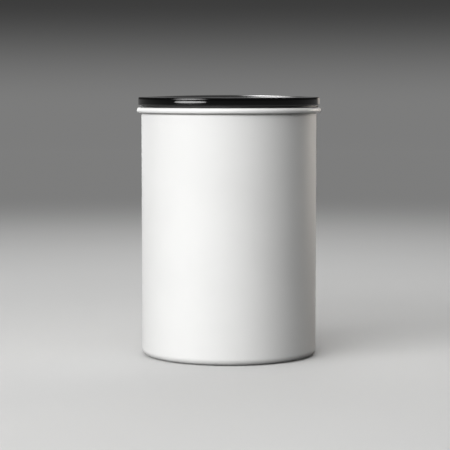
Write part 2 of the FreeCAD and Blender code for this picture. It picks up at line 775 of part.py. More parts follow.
def make_bearing_cap(label, start_x, screw_x):
    """Half-round cap over the axle, with a shoulder and a screw hole on each side."""
    corners = [
        (f"(-{post_side})", "0"),
        (f"(-{bearing_r})", "0", bearing_r, RIGHT),
        ("0", bearing_r, bearing_r, RIGHT),
        (bearing_r, "0"),
        (post_side, "0"),
        (post_side, "cap_shoulder"),
        (cap_arch_side, "cap_shoulder", cap_r, LEFT),
        ("0", cap_r, cap_r, LEFT),
        (f"(-{cap_arch_side})", "cap_shoulder"),
        (f"(-{post_side})", "cap_shoulder"),
    ]
    body = new_body(label, handle_z)
    section = sketch_on(body, f"{label}_section", "YZ_Plane", start_x)
    draw_outline(section, corners)
    extrude(body, "Pad", section, "post_width")
    holes = sketch_on(body, f"{label}_holes", "XY_Plane", "(cap_shoulder + overrun)")
    for y in (screw_side, f"(-{screw_side})"):
        draw_circle(holes, screw_x, y, "(screw_dia / 2 + screw_clearance)")
    extrude(body, "Pocket", holes, "(cap_shoulder + 2 * overrun)")
    return body


def make_bearing_screws():
    """Four pan-head screws with hexagon sockets, two through each cap into its post."""
    seat = f"({handle_z} + cap_shoulder)"
    screws = []
    for x in (post_mid, f"(-{post_mid})"):
        for y in (screw_side, f"(-{screw_side})"):
            name = f"screw_{len(screws) + 1}"
            shank = primitive("Cylinder", f"{name}_shank", Radius="(screw_dia / 2)", Height="screw_length")
            bind(shank, base_x=x, base_y=y, base_z=f"({seat} - screw_length)")
            head = primitive("Cylinder", f"{name}_head", Radius="(screw_head_dia / 2)", Height="screw_head")
            bind(head, base_x=x, base_y=y, base_z=seat)
            blank = doc.addObject("Part::Fuse", f"{name}_blank")
            blank.Base = shank
            blank.Tool = head
            depth = "(socket_depth + overrun)"
            socket = primitive("Prism", f"{name}_socket", Circumradius="(socket_dia / 2)", Height=depth)
            bind(socket, base_x=x, base_y=y, base_z=f"({seat} + screw_head - socket_depth)")
            screw = doc.addObject("Part::Cut", name)
            screw.Base = blank
            screw.Tool = socket
            screws.append(screw)
    group = doc.addObject("Part::Compound", "bearing_screws")
    group.Label = "bearing_screws"
    group.Links = screws
    return group


pieces = [
    make_canister_shell(),
    make_outer_lid(),
    make_outer_lid_seal(),
    make_plunger_body(),
    make_plunger_seal(),
    make_valve_cage(),
    make_valve_umbrella(),
    make_valve_stem(),
    make_valve_spring(),
    make_handle_axle(),
    make_valve_cam(),
    make_handle_bail(),
    make_bearing_cap("right_bearing_cap", post_in, post_mid),
    make_bearing_cap("left_bearing_cap", f"(-{post_out})", f"(-{post_mid})"),
    make_bearing_screws(),
]
doc.recompute()

failed = [o.Name for o in doc.Objects if "Invalid" in o.State or "Error" in o.State]
if failed:
    raise SystemExit(f"these objects failed: {failed}")
for piece in pieces:
    if piece.Shape.isNull() or not piece.Shape.isValid() or not piece.Shape.Solids:
        raise SystemExit(f"{piece.Label} has no valid solid")

os.makedirs("parts", exist_ok=True)
for piece in pieces:
    piece.Shape.exportStep(f"parts/{piece.Label}.step")
    box = piece.Shape.BoundBox
    print(f"{piece.Label}: {piece.Shape.Volume:.0f} mm3, from {box.ZMin:.2f} to {box.ZMax:.2f} mm high")
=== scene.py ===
import math

import bpy
from mathutils import Matrix, Quaternion, Vector


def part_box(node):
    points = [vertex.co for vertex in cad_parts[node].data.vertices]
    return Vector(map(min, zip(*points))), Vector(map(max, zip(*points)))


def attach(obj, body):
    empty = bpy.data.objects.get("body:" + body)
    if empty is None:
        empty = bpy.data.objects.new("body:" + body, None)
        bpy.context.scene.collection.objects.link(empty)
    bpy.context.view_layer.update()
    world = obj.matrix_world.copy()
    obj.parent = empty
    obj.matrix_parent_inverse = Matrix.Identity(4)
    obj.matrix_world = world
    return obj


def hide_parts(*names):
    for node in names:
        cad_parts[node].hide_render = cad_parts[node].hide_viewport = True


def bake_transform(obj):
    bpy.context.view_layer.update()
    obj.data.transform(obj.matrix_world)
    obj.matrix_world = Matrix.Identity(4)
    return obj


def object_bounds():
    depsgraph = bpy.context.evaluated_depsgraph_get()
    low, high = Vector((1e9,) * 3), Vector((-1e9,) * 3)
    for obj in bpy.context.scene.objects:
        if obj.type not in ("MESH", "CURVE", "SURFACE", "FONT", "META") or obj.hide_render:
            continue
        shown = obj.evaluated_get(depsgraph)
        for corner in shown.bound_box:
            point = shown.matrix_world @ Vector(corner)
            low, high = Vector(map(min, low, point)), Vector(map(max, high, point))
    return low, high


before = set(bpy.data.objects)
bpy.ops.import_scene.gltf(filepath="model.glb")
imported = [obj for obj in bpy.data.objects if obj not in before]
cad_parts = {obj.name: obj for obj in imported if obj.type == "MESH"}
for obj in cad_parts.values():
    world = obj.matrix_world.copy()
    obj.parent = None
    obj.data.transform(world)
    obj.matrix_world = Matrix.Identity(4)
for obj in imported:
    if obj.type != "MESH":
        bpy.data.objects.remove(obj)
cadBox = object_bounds()
scene = bpy.context.scene
mm = 0.001
turn = 2 * math.pi
creaseAngle = math.radians(34)  # an edge that bends more than this stays sharp


# node helpers

nodeLayout = {"inRow": 12, "across": 190, "down": -260}  # how the node editor shows a tree


def addNode(tree, kind, sockets=None, **settings):
    node = tree.nodes.new(kind)
    row, column = divmod(len(tree.nodes), nodeLayout["inRow"])
    node.location = (nodeLayout["across"] * column, nodeLayout["down"] * row)
    for name, setting in settings.items():
        setattr(node, name, setting)
    for key, given in (sockets or {}).items():
        if isinstance(given, bpy.types.NodeSocket):
            tree.links.new(given, node.inputs[key])
        else:
            node.inputs[key].default_value = given
    return node


def addStep(tree, kind, sockets=None, **settings):  # a node whose first output goes on
    return addNode(tree, kind, sockets, **settings).outputs[0]


def calc(tree, operation, *values):
    return addStep(tree, "ShaderNodeMath", dict(enumerate(values)), operation=operation)


def count(tree, operation, *values):
    return addStep(tree, "FunctionNodeIntegerMath", dict(enumerate(values)), operation=operation)


def vary(tree, share, change, start):  # start, and a share of the change added to it
    return calc(tree, "MULTIPLY_ADD", share, change, start)


def fade(tree, value, low, high, toLow=0.0, toHigh=1.0):  # smooth step from low to high
    sockets = {0: value, 1: low, 2: high, 3: toLow, 4: toHigh}
    return addStep(tree, "ShaderNodeMapRange", sockets, interpolation_type="SMOOTHSTEP")


def mixColour(tree, share, first, second):
    sockets = {0: share, 6: first, 7: second}
    return addNode(tree, "ShaderNodeMix", sockets, data_type="RGBA").outputs[2]


def mixValue(tree, share, first, second):
    return addStep(tree, "ShaderNodeMix", {0: share, 2: first, 3: second})


def shade(tree, colour, factor):  # one colour, darker or lighter by a value
    return addStep(tree, "ShaderNodeVectorMath", {0: colour[:3], "Scale": factor}, operation="SCALE")


def objectPlace(tree):
    return addNode(tree, "ShaderNodeTexCoord").outputs["Object"]


def split(tree, vector):
    return addNode(tree, "ShaderNodeSeparateXYZ", {0: vector}).outputs


def measure(tree, operation, *vectors):  # a number worked out from vectors
    sockets = dict(enumerate(vectors))
    return addNode(tree, "ShaderNodeVectorMath", sockets, operation=operation).outputs["Value"]


def noise(tree, place, scale, detail, twist=0.0):
    sockets = {"Vector": place, "Scale": scale, "Detail": detail, "Distortion": twist}
    return addStep(tree, "ShaderNodeTexNoise", sockets)


def openGroup(name, inputs, outputs, kind="ShaderNodeTree"):
    group = bpy.data.node_groups.new(name, kind)
    for label, (socketType, default) in inputs.items():
        socket = group.interface.new_socket(label, in_out="INPUT", socket_type=socketType)
        if default is not None:
            socket.default_value = default
    for label, socketType in outputs.items():
        group.interface.new_socket(label, in_out="OUTPUT", socket_type=socketType)
    return group, addNode(group, "NodeGroupInput").outputs, addNode(group, "NodeGroupOutput").inputs


def useGroup(tree, group, **sockets):
    node = addNode(tree, "ShaderNodeGroup", node_tree=group)
    for label, given in sockets.items():
        node.inputs[label].default_value = given
    return node.outputs


def link(tree, fromSocket, toSocket):
    tree.links.new(fromSocket, toSocket)


number = "NodeSocketFloat"


# shader groups that several finishes share

grainLook = {
    "fineDetail": 2.0,
    "broadDetail": 4.0,
    "tone": (0.3, 0.7),  # noise values where the tone is lowest and highest
}


def makeSurfaceGrain(v):  # fine moulded or sprayed texture, and a broad unevenness of tone
    group, given, result = openGroup(
        "surfaceGrain",
        {"Grain": (number, 0.5 * mm), "Patch": (number, 30 * mm)},
        {"Height": number, "Tone": number},
    )
    place = objectPlace(group)
    fine = calc(group, "DIVIDE", 1.0, given["Grain"])
    broad = calc(group, "DIVIDE", 1.0, given["Patch"])
    link(group, noise(group, place, fine, v["fineDetail"]), result["Height"])
    patches = noise(group, place, broad, v["broadDetail"])
    link(group, fade(group, patches, *v["tone"]), result["Tone"])
    return group


linesLook = {"detail": 3.0}


def makeTurningLines(v):  # fine rings round the upright axis, on walls and on flat faces alike
    group, given, result = openGroup(
        "turningLines",
        {"Line": (number, 0.15 * mm), "Waver": (number, 1.5)},
        {"Lines": number},
    )
    part = split(group, objectPlace(group))
    flat = addStep(group, "ShaderNodeCombineXYZ", {0: part[0], 1: part[1]})
    radius = measure(group, "LENGTH", flat)
    way = addStep(group, "ShaderNodeVectorMath", {0: flat}, operation="NORMALIZE")
    swung = addStep(
        group, "ShaderNodeVectorMath", {0: way, "Scale": given["Waver"]}, operation="SCALE"
    )
    along = calc(group, "DIVIDE", calc(group, "ADD", radius, part[2]), given["Line"])
    lift = addStep(group, "ShaderNodeCombineXYZ", {2: along})
    spot = addStep(group, "ShaderNodeVectorMath", {0: swung, 1: lift}, operation="ADD")
    link(group, noise(group, spot, 1.0, v["detail"]), result["Lines"])
    return group


marksLook = {
    "smudgeSize": 22 * mm,
    "smudgeDetail": 5.0,
    "smudgeTwist": 0.6,
    "smudge": (0.48, 0.72),  # noise values where a smudge starts and is full
    "scratchTurns": (0.35, 1.45, 2.5),  # one set of hairlines for each, in radians about Z
    "scratchTip": 0.4,  # the share of that turn that also tips the set about X
    "scratchLean": 0.2,  # radians about Y
    "scratchScale": (18, 2600, 2600),  # long one way and very fine the other two
    "scratch": (0.74, 0.80),
    "speckSize": 0.9 * mm,  # of the cells that can hold a speck of dust
    "speckEdge": (0.10, 0.26),
    "speckChance": (0.80, 0.84),  # cells whose random value is higher hold one
}


def makeHandlingMarks(v):  # finger smudges, hairline scratches and specks of dust
    group, given, result = openGroup(
        "handlingMarks",
        {"Smudge Size": (number, v["smudgeSize"]), "Speck Size": (number, v["speckSize"])},
        {"Smudge": number, "Scratch": number, "Dust": number},
    )
    place = objectPlace(group)
    smudgeScale = calc(group, "DIVIDE", 1.0, given["Smudge Size"])
    smudge = noise(group, place, smudgeScale, v["smudgeDetail"], v["smudgeTwist"])
    link(group, fade(group, smudge, *v["smudge"]), result["Smudge"])
    scratch = 0.0
    for tilt in v["scratchTurns"]:
        rotation = (v["scratchTip"] * tilt, v["scratchLean"], tilt)
        sockets = {"Vector": place, "Rotation": rotation, "Scale": v["scratchScale"]}
        hairs = noise(group, addStep(group, "ShaderNodeMapping", sockets), 1.0, 0.0)
        scratch = calc(group, "MAXIMUM", scratch, fade(group, hairs, *v["scratch"]))
    link(group, scratch, result["Scratch"])
    speckScale = calc(group, "DIVIDE", 1.0, given["Speck Size"])
    speck = addNode(group, "ShaderNodeTexVoronoi", {"Vector": place, "Scale": speckScale})
    chosen = addStep(group, "ShaderNodeSeparateColor", {0: speck.outputs["Color"]})
    near = fade(group, speck.outputs["Distance"], *v["speckEdge"], 1.0, 0.0)
    link(group, calc(group, "MULTIPLY", near, fade(group, chosen, *v["speckChance"])), result["Dust"])
    return group


edgeLook = {
    "samples": 6,
    "rub": (0.995, 0.80),  # agreement of rounded and flat normal where rubbing starts and is full
}


def makeSoftEdge(v):  # rounded-looking edges on machined or moulded pieces, and where they are rubbed
    group, given, result = openGroup(
        "softEdge",
        {"Width": (number, 0.25 * mm)},
        {"Normal": "NodeSocketVector", "Rub": number},
    )
    rounded = addStep(group, "ShaderNodeBevel", {"Radius": given["Width"]}, samples=v["samples"])
    flat = addNode(group, "ShaderNodeNewGeometry").outputs["Normal"]
    agree = measure(group, "DOT_PRODUCT", rounded, flat)
    link(group, rounded, result["Normal"])
    link(group, fade(group, agree, *v["rub"]), result["Rub"])
    return group


surfaceGrain = makeSurfaceGrain(grainLook)
turningLines = makeTurningLines(linesLook)
handlingMarks = makeHandlingMarks(marksLook)
softEdge = makeSoftEdge(edgeLook)


def newFinish(name):
    finish = bpy.data.materials.new(name)
    finish.use_nodes = True
    tree = finish.node_tree
    return finish, tree, tree.nodes["Principled BSDF"].inputs


def setBump(tree, bsdf, height, depth, normal=None):
    sockets = {"Height": height, "Strength": 1.0, "Distance": depth}
    if normal is not None:
        sockets["Normal"] = normal
    link(tree, addStep(tree, "ShaderNodeBump", sockets), bsdf["Normal"])


print("shader groups ready")


# turned forms: a half section carried round the upright axis

turning = {
    "weld": 0.002 * mm,  # points closer than this become one, at the seam and at the axis
    "guard": 0.12 * mm,  # how far beside an arc its guard point lies
    "shortRun": 0.48 * mm,  # a straight run below this length has no guard points
}


def endForm(tree, form, finish, outlet):  # every tree of a piece ends alike
    form = addStep(tree, "GeometryNodeRealizeInstances", {"Geometry": form})
    form = addStep(tree, "GeometryNodeSetMaterial", {"Geometry": form, "Material": finish})
    link(tree, form, outlet)


def makeTurnedForm(v):
    tree, given, result = openGroup(
        "turnedForm",
        {
            "Half Section": ("NodeSocketObject", None),
            "Steps Around": ("NodeSocketInt", 128),
            "Crease": (number, creaseAngle),
            "Finish": ("NodeSocketMaterial", None),
        },
        {"Form": "NodeSocketGeometry"},
        kind="GeometryNodeTree",
    )
    source = addNode(tree, "GeometryNodeObjectInfo", {"Object": given["Half Section"]})
    section = source.outputs["Geometry"]
    points = addNode(tree, "GeometryNodeAttributeDomainSize", {0: section}).outputs["Point Count"]
    columns = count(tree, "ADD", given["Steps Around"], 1)
    grid = addStep(tree, "GeometryNodeMeshGrid", {"Vertices X": columns, "Vertices Y": points})
    index = addStep(tree, "GeometryNodeInputIndex")
    row = count(tree, "MODULO", index, points)
    column = count(tree, "DIVIDE_FLOOR", index, points)
    angle = calc(tree, "DIVIDE", calc(tree, "MULTIPLY", column, turn), given["Steps Around"])
    place = addStep(tree, "GeometryNodeInputPosition")
    sockets = {"Geometry": section, "Value": place, "Index": row}
    half = split(tree, addStep(tree, "GeometryNodeSampleIndex", sockets, data_type="FLOAT_VECTOR"))
    x = calc(tree, "MULTIPLY", half[0], calc(tree, "COSINE", angle))
    y = calc(tree, "MULTIPLY", half[0], calc(tree, "SINE", angle))
    swept = addStep(tree, "ShaderNodeCombineXYZ", {0: x, 1: y, 2: half[2]})
    form = addStep(tree, "GeometryNodeSetPosition", {"Geometry": grid, "Position": swept})
    bare = addStep(tree, "GeometryNodeInputNamedAttribute", {"Name": "bareMetal"}, data_type="FLOAT")
    sockets = {"Geometry": section, "Value": bare, "Index": row}
    carried = addStep(tree, "GeometryNodeSampleIndex", sockets, data_type="FLOAT")
    sockets = {"Geometry": form, "Name": "bareMetal", "Value": carried}
    form = addStep(
        tree, "GeometryNodeStoreNamedAttribute", sockets, data_type="FLOAT", domain="POINT"
    )
    form = addStep(tree, "GeometryNodeMergeByDistance", {"Geometry": form, "Distance": v["weld"]})
    form = addStep(tree, "GeometryNodeSetShadeSmooth", {"Geometry": form})
    bend = addStep(tree, "GeometryNodeInputMeshEdgeAngle")
    sharp = addStep(tree, "FunctionNodeCompare", {0: bend, 1: given["Crease"]}, operation="GREATER_THAN")
    sockets = {"Geometry": form, "Selection": sharp, "Shade Smooth": False}
    form = addStep(tree, "GeometryNodeSetShadeSmooth", sockets, domain="EDGE")
    endForm(tree, form, given["Finish"], result["Form"])
    return tree


def growMesh(name, tree, values, startMesh=None):  # runs a node tree once and keeps its plain mesh
    piece = bpy.data.objects.new(name, startMesh or bpy.data.meshes.new(name))
    scene.collection.objects.link(piece)
    grower = piece.modifiers.new("grower", "NODES")
    grower.node_group = tree
    for socket in tree.interface.items_tree:
        if socket.in_out == "INPUT" and socket.name in values:
            grower[socket.identifier] = values[socket.name]
    grown = piece.evaluated_get(bpy.context.evaluated_depsgraph_get())
    mesh = bpy.data.meshes.new_from_object(grown)
    piece.modifiers.clear()
    piece.data = mesh
    mesh.name = name
    return piece


def cornerArc(before, corner, after, radius, steps):
    toBefore = (before - corner).normalized()
    toAfter = (after - corner).normalized()
    half = toBefore.angle(toAfter) / 2
    centre = corner + (toBefore + toAfter).normalized() * (radius / math.sin(half))
    start = corner + toBefore * (radius / math.tan(half)) - centre
    stop = corner + toAfter * (radius / math.tan(half)) - centre
    swing = start.angle_signed(stop)
    return [centre + Matrix.Rotation(-swing * i / steps, 2) @ start for i in range(steps + 1)]


def guardPoints(first, last, besideArc):  # close beside an arc, so that the flat next to it stays flat
    run = last[0] - first[0]
    if run.length < turning["shortRun"]:
        return []
    near = turning["guard"] / run.length
    shares = [share for share, wanted in zip((near, 1 - near), besideArc) if wanted]
    return [(first[0] + run * s, first[1] + (last[1] - first[1]) * s) for s in shares]


def halfSection(name, corners, closed, arcSteps):  # a corner is (radius, height, rounding, bare metal)
    spots = [Vector(c[:2]) for c in corners]
    line = []
    afterArc = False
    for i, corner in enumerate(corners):
        rounding = corner[2] if len(corner) > 2 else 0
        bare = corner[3] if len(corner) > 3 else 0
        isArc = bool(rounding) and (closed or 0 < i < len(corners) - 1)
        if isArc:
            arc = cornerArc(spots[i - 1], spots[i], spots[(i + 1) % len(spots)], rounding, arcSteps)
        else:
            arc = [spots[i]]
        if line:
            line += guardPoints(line[-1], (arc[0], bare), (afterArc, isArc))
        line += [(spot, bare) for spot in arc]
        afterArc = isArc
    if closed:
        line += guardPoints(line[-1], line[0], (afterArc, True)) + [line[0]]
    mesh = bpy.data.meshes.new(name)
    mesh.from_pydata([(spot.x, 0, spot.y) for spot, bare in line], [], [])
    shares = mesh.attributes.new("bareMetal", "FLOAT", "POINT")
    shares.data.foreach_set("value", [bare for spot, bare in line])
    holder = bpy.data.objects.new(name, mesh)
    scene.collection.objects.link(holder)
    return holder


turnedForm = makeTurnedForm(turning)


def turnPiece(name, corners, finish, v, closed=False):
    section = halfSection(name + "Section", corners, closed, v["arcSteps"])
    values = {"Half Section": section, "Steps Around": v["steps"], "Finish": finish}
    piece = growMesh(name, turnedForm, values)
    bpy.data.objects.remove(section)
    print("turned", name, len(piece.data.polygons), "faces")
    return piece


def standIn(piece, body, node):  # the piece is shown in place of a node of the frame
    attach(piece, body)
    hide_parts(node)


# canister: drawn steel, white powder coat outside and over the rolled rim, bare steel inside

canister = {
    "sheet": 0.7 * mm,
    "beadTube": 3.85 * mm,
    "curlGap": 0.2 * mm,
    "baseCorner": 4.5 * mm,
    "footWidth": 5.0 * mm,
    "panelRise": 1.2 * mm,
    "panelSlope": 1.5 * mm,
    "panelBend": 0.8 * mm,
    "coatInside": 5.0 * mm,  # how far the coat reaches down the inside
    "coatFades": 2.5 * mm,
    "steps": 192,
    "arcSteps": 10,
    "curlSteps": 20,  # round the hollow of the rolled rim
    "beadSteps": 28,  # round its outside
    "coatColour": (0.83, 0.83, 0.82, 1),
    "coatTone": (0.025, 0.985),  # how much the tone changes, and from where
    "coatRoughness": (0.08, 0.46),
    "tonePatch": 45 * mm,
    "smudgeGloss": -0.07,
    "peelSize": 1.0 * mm,
    "peelDepth": 0.035 * mm,
    "spraySize": 1.2 * mm,  # the ragged edge of the coat
    "sprayDetail": 3.0,
    "sprayReach": 0.35,
    "bareSteel": (0.36, 0.64),  # where the coat starts to thin and where it is gone
    "steelColour": (0.76, 0.75, 0.73, 1),
    "steelTone": (0.35, 0.82),
    "steelRoughness": (0.16, 0.36),
    "drawnLine": 0.14 * mm,
    "drawnWaver": 1.2,
    "drawnDepth": 0.7,  # of the coat's peel
    "scuffHeight": 1.6 * mm,
    "scuff": (0.50, 0.66),
    "scuffColour": (0.42, 0.41, 0.40, 1),
    "paintedShadeBand": 0.7 * mm,  # painted shade on the wall close under the bead, in the crease
    "paintedShadeFullShare": 1 / 3,  # of the band above the crease, before the painted shade thins
    "paintedShadeShare": 0.8,
    "paintedShadeColour": (0.30, 0.29, 0.28, 1),
}


def makeCoatedSteel(v, boreR, bodyR, creaseZ):
    finish, tree, bsdf = newFinish("coatedSteel")
    grain = useGroup(tree, surfaceGrain, Grain=v["peelSize"], Patch=v["tonePatch"])
    lines = useGroup(tree, turningLines, Line=v["drawnLine"], Waver=v["drawnWaver"])["Lines"]
    marks = useGroup(tree, handlingMarks)
    bareShare = addNode(tree, "ShaderNodeAttribute", attribute_name="bareMetal").outputs["Fac"]
    place = objectPlace(tree)
    spray = noise(tree, place, 1 / v["spraySize"], v["sprayDetail"])
    midNoise = 0.5
    ragged = vary(tree, calc(tree, "SUBTRACT", spray, midNoise), v["sprayReach"], bareShare)
    bare = fade(tree, ragged, *v["bareSteel"])
    height = split(tree, place)[2]
    low = fade(tree, height, 0.0, v["scuffHeight"], 1.0, 0.0)
    scuff = calc(tree, "MULTIPLY", low, fade(tree, spray, *v["scuff"]))
    coatTone = vary(tree, grain["Tone"], *v["coatTone"])
    coat = mixColour(tree, scuff, shade(tree, v["coatColour"], coatTone), v["scuffColour"])
    flat = addStep(tree, "ShaderNodeVectorMath", {0: place, 1: (1, 1, 0)}, operation="MULTIPLY")
    radius = measure(tree, "LENGTH", flat)
    # painted shade: the outer wall is darkened in a thin band in the crease under the bead
    band = v["paintedShadeBand"]
    paintedShade = calc(
        tree,
        "MULTIPLY",
        fade(tree, height, creaseZ - band, creaseZ),
        fade(tree, height, creaseZ + band * v["paintedShadeFullShare"], creaseZ + band, 1.0, 0.0),
    )
    paintedShade = calc(tree, "MULTIPLY", paintedShade, fade(tree, radius, boreR, bodyR))
    coat = mixColour(tree, calc(tree, "MULTIPLY", paintedShade, v["paintedShadeShare"]), coat, v["paintedShadeColour"])
    steel = shade(tree, v["steelColour"], vary(tree, lines, *v["steelTone"]))
    link(tree, mixColour(tree, bare, coat, steel), bsdf["Base Color"])
    link(tree, bare, bsdf["Metallic"])
    coatRough = vary(tree, grain["Tone"], *v["coatRoughness"])
    coatRough = vary(tree, marks["Smudge"], v["smudgeGloss"], coatRough)
    steelRough = vary(tree, lines, *v["steelRoughness"])
    link(tree, mixValue(tree, bare, coatRough, steelRough), bsdf["Roughness"])
    bump = mixValue(tree, bare, grain["Height"], calc(tree, "MULTIPLY", lines, v["drawnDepth"]))
    setBump(tree, bsdf, bump, v["peelDepth"])
    return finish


def arcSpots(centreR, centreZ, radius, fromDeg, toDeg, steps):
    angles = [math.radians(fromDeg + (toDeg - fromDeg) * i / steps) for i in range(steps + 1)]
    return [(centreR + radius * math.cos(a), centreZ + radius * math.sin(a)) for a in angles]


def makeCanister(v):
    low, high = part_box("canister_shell")
    rim = high.z
    tubeR = v["beadTube"] / 2
    curlR = tubeR - v["sheet"]
    ringR = high.x - tubeR
    ringZ = rim - tubeR
    bodyR = ringR - curlR
    boreR = bodyR - v["sheet"]
    footOut = bodyR - v["baseCorner"]
    footIn = footOut - v["footWidth"]
    panelR = footIn - v["panelSlope"]
    panelTop = v["panelRise"] + v["sheet"]
    curlEnd = -180 + math.degrees(math.acos((curlR - v["curlGap"]) / tubeR))
    coatEdge = rim - v["coatInside"]
    bend = v["panelBend"]
    corners = [
        (0, v["panelRise"]),
        (panelR, v["panelRise"], bend),
        (footIn, low.z, bend),
        (bodyR, low.z, v["baseCorner"]),
        *arcSpots(ringR, ringZ, curlR, 180, curlEnd, v["curlSteps"]),
        *arcSpots(ringR, ringZ, tubeR, curlEnd, 180, v["beadSteps"]),
        (boreR, coatEdge),
        (boreR, coatEdge - v["coatFades"], 0, 1),
        (boreR, v["sheet"], v["baseCorner"] - v["sheet"], 1),
        (footIn, v["sheet"], bend, 1),
        (panelR, panelTop, bend, 1),
        (0, panelTop, 0, 1),
    ]
    finish = makeCoatedSteel(v, boreR, bodyR, rim - v["beadTube"])
    piece = turnPiece("canisterShell", corners, finish, v)
    standIn(piece, "canister", "canister_shell")


# outer lid: glossy near-black plastic

outerLid = {
    "flangeHeight": 5.5 * mm,
    "flangeBulge": 0.022 * mm,  # the edge is a little barrel shaped
    "bulgeSteps": 8,
    "bevelHeight": 1.4 * mm,  # steep bevel round the upper edge
    "bevelIn": 0.28 * mm,
    "bevelRound": 0.25 * mm,
    "upperRound": 0.8 * mm,
    "lowerRound": 0.7 * mm,
    "lowerFlat": 0.25 * mm,  # between the lower rounding and the barrel shape
    "crown": 1.5 * mm,  # rise of the plate from its edge to its middle
    "crownSteps": 14,
    "plate": 3.4 * mm,
    "plugInset": 4.6 * mm,  # plug inside the flange's edge
    "plugWall": 2.2 * mm,
    "plugFillet": 1.6 * mm,
    "plugRound": 0.25 * mm,
    "rib": 0.5 * mm,
    "ribHeight": 1.2 * mm,
    "ribLowerRound": 0.2 * mm,
    "ribUpperRound": 0.1 * mm,
    "gateRadius": 2.2 * mm,  # where the melt came in, under the plate
    "gateDrop": 0.25 * mm,
    "gateSlope": 0.25 * mm,
    "gateRound": 0.1 * mm,
    "steps": 192,
    "arcSteps": 8,
    "colour": (0.004, 0.004, 0.0043, 1),
    "roughness": 0.045,
    "smudgeRoughness": 0.07,
    "scratchRoughness": 0.10,
    "gloss": 0.36,
    "dustShare": 0.06,
    "dustColour": (0.35, 0.34, 0.32, 1),
    "waveSize": 30 * mm,  # slight unevenness of the moulded face
    "waveDepth": 0.02 * mm,
    "scratchDepth": -0.02,  # of the waves
}


def makeLidPlastic(v):
    finish, tree, bsdf = newFinish("lidPlastic")
    marks = useGroup(tree, handlingMarks)
    waves = useGroup(tree, surfaceGrain, Grain=v["waveSize"])["Height"]
    dusty = calc(tree, "MULTIPLY", marks["Dust"], v["dustShare"])
    link(tree, mixColour(tree, dusty, v["colour"], v["dustColour"]), bsdf["Base Color"])
    rough = vary(tree, marks["Smudge"], v["smudgeRoughness"], v["roughness"])
    rough = vary(tree, marks["Scratch"], v["scratchRoughness"], rough)
    link(tree, rough, bsdf["Roughness"])
    bsdf["Specular IOR Level"].default_value = v["gloss"]
    setBump(tree, bsdf, vary(tree, marks["Scratch"], v["scratchDepth"], waves), v["waveDepth"])
    return finish


def crownSpots(edgeR, edgeZ, rise, steps, innerR=0):  # from the middle, or from innerR, out to the edge
    radii = [innerR + (edgeR - innerR) * i / steps for i in range(steps + 1)]
    return [(r, edgeZ + rise * (1 - (r / edgeR) ** 2)) for r in radii]


def bulgeSpots(edgeR, low, high, bulge, steps):  # up the edge, fullest at half its height
    shares = [2 * i / steps - 1 for i in range(steps + 1)]
    return [(edgeR - bulge * s * s, low + (high - low) * (s + 1) / 2) for s in shares]


def makeOuterLid(v):
    low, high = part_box("outer_lid")
    flangeR, top = high.x, high.z - v["crown"]
    flangeLow = top - v["flangeHeight"]
    under = top - v["plate"]
    plugR = flangeR - v["plugInset"]
    plugIn = plugR - v["plugWall"]
    ribR = plugR + v["rib"]
    underIn = plugIn - v["plugFillet"]
    edgeR = flangeR - v["flangeBulge"]
    bevelR = edgeR - v["bevelIn"]
    bulgeLow = flangeLow + v["lowerRound"] + v["lowerFlat"]
    bevelLow = top - v["bevelHeight"]
    upperIn = bevelR - v["upperRound"]
    gateOut = v["gateRadius"] + v["gateSlope"]
    hollow = crownSpots(underIn, under, v["crown"], v["crownSteps"], gateOut)
    gateLow = hollow[0][1] - v["gateDrop"]
    corners = [
        (0, gateLow),
        (v["gateRadius"], gateLow, v["gateRound"]),
        *hollow[:-1],
        (plugIn, under, v["plugFillet"]),
        (plugIn, low.z, v["plugRound"]),
        (plugR, low.z, v["plugRound"]),
        (ribR, low.z + v["rib"], v["ribLowerRound"]),
        (ribR, low.z + v["ribHeight"], v["ribUpperRound"]),
        (plugR, low.z + v["ribHeight"]),
        (plugR, flangeLow),
        (edgeR, flangeLow, v["lowerRound"]),
        *bulgeSpots(flangeR, bulgeLow, bevelLow, v["flangeBulge"], v["bulgeSteps"])[:-1],
        (edgeR, bevelLow, v["bevelRound"]),
        (bevelR, top, v["upperRound"]),
        *reversed(crownSpots(upperIn, top, v["crown"], v["crownSteps"])),
    ]
    piece = turnPiece("outerLid", corners, makeLidPlastic(v), v)
    standIn(piece, "outer_lid", "outer_lid")


# seals: matt black silicone, a sleeve with lips on the lid's plug and a band with wipers on the plunger

seals = {
    "sleeveWall": 0.7 * mm,
    "sleeveInset": 3.45 * mm,  # sleeve's bore inside the edge of the seal's flange
    "lidLipReach": 0.6 * mm,
    "lidLipStart": 1.0 * mm,
    "lidLipPitch": 3.4 * mm,
    "lidLipRoot": 1.6 * mm,
    "lidLipTip": 0.5 * mm,
    "flangeThick": 1.35 * mm,
    "flangeRound": 0.36 * mm,
    "bandWall": 1.55 * mm,
    "wiperReach": 1.95 * mm,
    "wiperStart": 2.0 * mm,
    "wiperPitch": 5.5 * mm,
    "wiperRoot": 1.8 * mm,
    "wiperTip": 0.7 * mm,
    "wiperRise": 1.0 * mm,
    "lips": 2,  # on each of the two seals
    "edge": 0.18 * mm,
    "steps": 160,
    "arcSteps": 4,
    "colour": (0.011, 0.0108, 0.0105, 1),
    "tone": (0.25, 0.86),
    "tonePatch": 18 * mm,
    "dustShare": 0.30,
    "dustColour": (0.16, 0.155, 0.15, 1),
    "roughness": (0.12, 0.58),
    "smudgeGloss": -0.08,
    "grain": 0.16 * mm,
    "grainDepth": 0.02 * mm,
}


